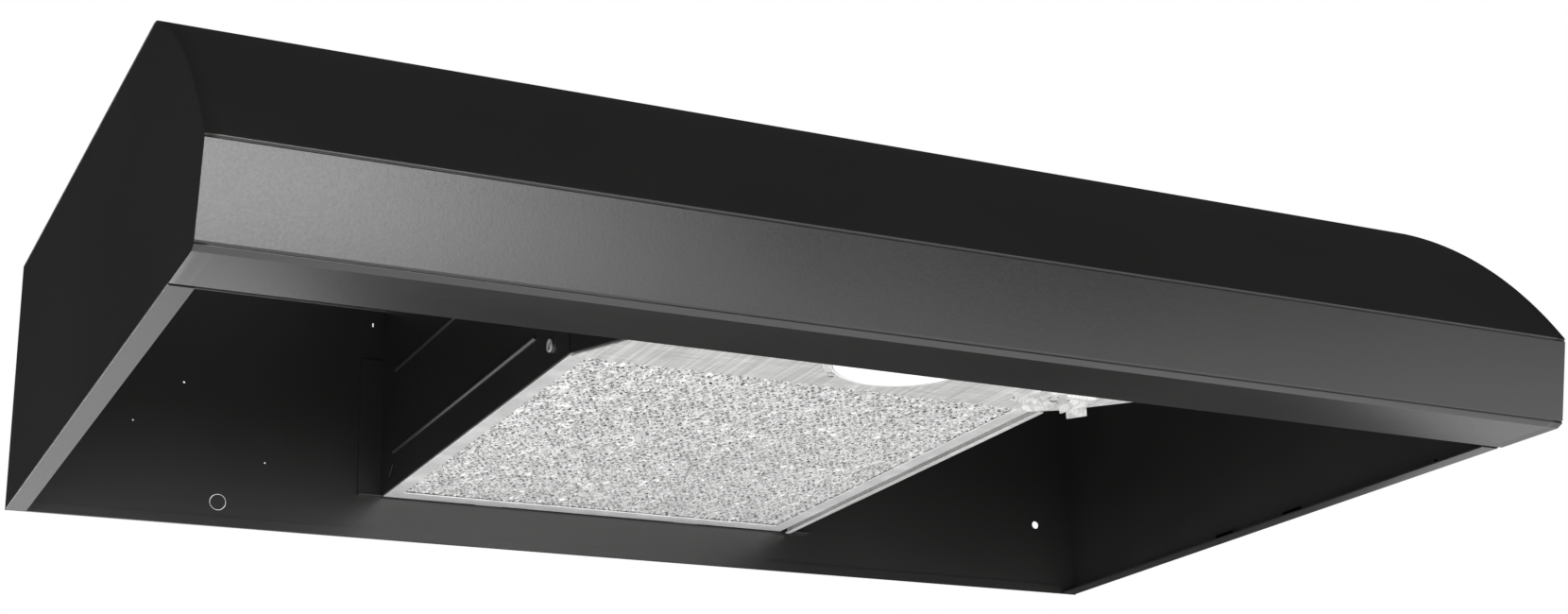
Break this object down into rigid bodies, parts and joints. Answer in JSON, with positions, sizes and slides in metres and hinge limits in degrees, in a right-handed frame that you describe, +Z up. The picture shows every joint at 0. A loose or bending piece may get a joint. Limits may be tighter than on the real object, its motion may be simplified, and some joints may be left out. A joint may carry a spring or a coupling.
{
  "type": "under cabinet range hood",
  "caption": "Black under-cabinet range hood with a curved visor, mesh grease filter, round lamp, rocker switches, fan and damper.",
  "frame": {"origin": "point on the flat top face that meets the cabinet floor, at the middle of the width and 25 mm in front of the back face", "axes": "+X to the right seen from the front and along the width, +Y towards the wall, +Z up out of the top face"},
  "size_m": [0.759, 0.5, 0.154],
  "materials": {
    "black_paint": "black powder paint, semi-gloss, fine orange peel",
    "galvanised": "bright galvanised sheet",
    "aluminium": "bright rolled aluminium",
    "filter_mesh": "layered expanded aluminium mesh",
    "lamp_white": "opal diffuser",
    "bulb_glass": "frosted bulb",
    "black_plastic": "moulded black switch plastic",
    "steel": "zinc plated steel",
    "motor_black": "satin black enamel",
    "ceramic": "glazed ceramic"
  },
  "bodies": {
    "chassis": {"outer_shell": "black_paint", "side_panel_left": "black_paint", "side_panel_right": "black_paint", "rear_panel": "black_paint", "rear_duct_knockout": "black_paint", "wiring_knockout": "black_paint", "partition_left": "black_paint", "partition_right": "black_paint", "filter_rail": "galvanised", "housing_front_wall": "black_paint", "light_panel": "galvanised", "panel_screw_1": "steel", "panel_screw_2": "steel", "vent_screw": "steel", "wire_clip": "galvanised", "lamp_trim_ring": "aluminium", "trim_screw_1": "steel", "trim_screw_2": "steel", "lamp_reflector": "aluminium", "lamp_socket": "ceramic", "lamp_bulb": "bulb_glass", "lamp_bracket": "galvanised", "filter_clip_left": "steel", "filter_clip_right": "steel", "motor_winding": "motor_black", "motor_case": "motor_black", "motor_strap": "galvanised", "motor_nut_left": "steel", "motor_nut_right": "steel", "fan_shroud": "galvanised", "duct_ring": "galvanised", "damper_pin": "steel", "switch_bezel": "black_plastic", "wiring_cover": "galvanised"},
    "filter": {"filter_frame": "aluminium", "filter_pad": "filter_mesh"},
    "lens": {"lamp_lens": "lamp_white"},
    "fan": {"fan_wheel": "aluminium", "motor_shaft": "steel", "shaft_nut": "steel", "motor_rotor": "steel"},
    "damper_front": {"damper_flap_front": "galvanised", "damper_knuckle_front_1": "galvanised", "damper_knuckle_front_2": "galvanised", "damper_knuckle_front_3": "galvanised"},
    "damper_rear": {"damper_flap_rear": "galvanised", "damper_knuckle_rear_1": "galvanised", "damper_knuckle_rear_2": "galvanised", "damper_knuckle_rear_3": "galvanised"},
    "fan_switch": {"fan_rocker": "black_plastic"},
    "light_switch": {"light_rocker": "black_plastic"}
  },
  "joints": [
    {"name": "filter_swing", "type": "hinge", "parent": "chassis", "child": "filter", "pos_m": [-0.0062, -0.306, -0.1264], "axis": [-1, 0, 0], "range_deg": [0, 60]},
    {"name": "lens_pull", "type": "slide", "parent": "chassis", "child": "lens", "axis": [0, 0, -1], "range_m": [0, 0.025]},
    {"name": "fan_spin", "type": "hinge", "parent": "chassis", "child": "fan", "pos_m": [-0.004, -0.1405, -0.059], "axis": [0, 0, 1], "continuous": true},
    {"name": "damper_front_swing", "type": "hinge", "parent": "chassis", "child": "damper_front", "pos_m": [-0.004, -0.1405, -0.02], "axis": [-1, 0, 0], "range_deg": [0, 75]},
    {"name": "damper_rear_swing", "type": "hinge", "parent": "chassis", "child": "damper_rear", "pos_m": [-0.004, -0.1405, -0.02], "axis": [1, 0, 0], "range_deg": [0, 75]},
    {"name": "fan_rocker_tilt", "type": "hinge", "parent": "chassis", "child": "fan_switch", "pos_m": [0.10695, -0.387, -0.1263], "axis": [1, 0, 0], "range_deg": [-9, 9]},
    {"name": "light_rocker_tilt", "type": "hinge", "parent": "chassis", "child": "light_switch", "pos_m": [0.12905, -0.387, -0.1263], "axis": [-1, 0, 0], "range_deg": [0, 18]}
  ]
}
